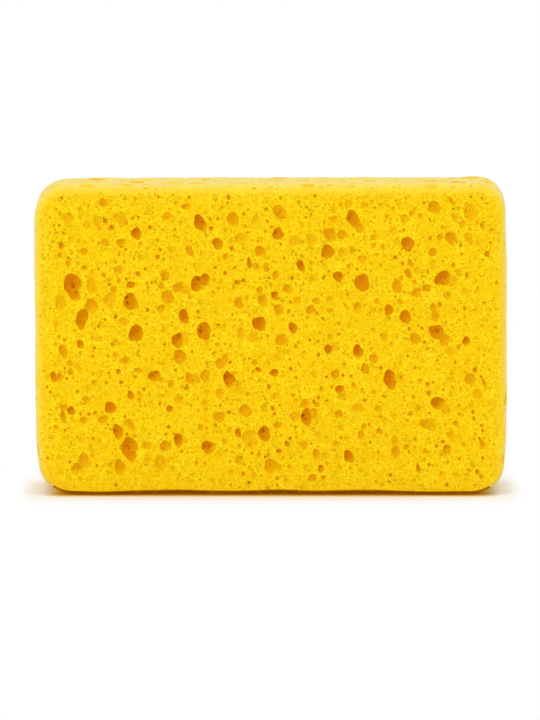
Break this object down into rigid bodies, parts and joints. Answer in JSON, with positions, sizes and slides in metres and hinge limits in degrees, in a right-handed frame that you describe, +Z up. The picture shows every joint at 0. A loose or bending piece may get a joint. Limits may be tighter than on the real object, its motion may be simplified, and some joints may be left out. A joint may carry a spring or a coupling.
{
  "type": "cleaning sponge",
  "caption": "Rectangular open-pored cleaning sponge with rounded corners, standing on a long narrow side.",
  "frame": {"origin": "middle of the flat strip of the long narrow side that the sponge stands on", "axes": "+Z up, +X along the length, +Y from the front wiping face to the back one"},
  "size_m": [0.12, 0.038, 0.079],
  "materials": {
    "foam": "open-pored yellow foam, matt and slightly damp"
  },
  "bodies": {
    "root": {"sponge_block": "foam"}
  },
  "joints": []
}
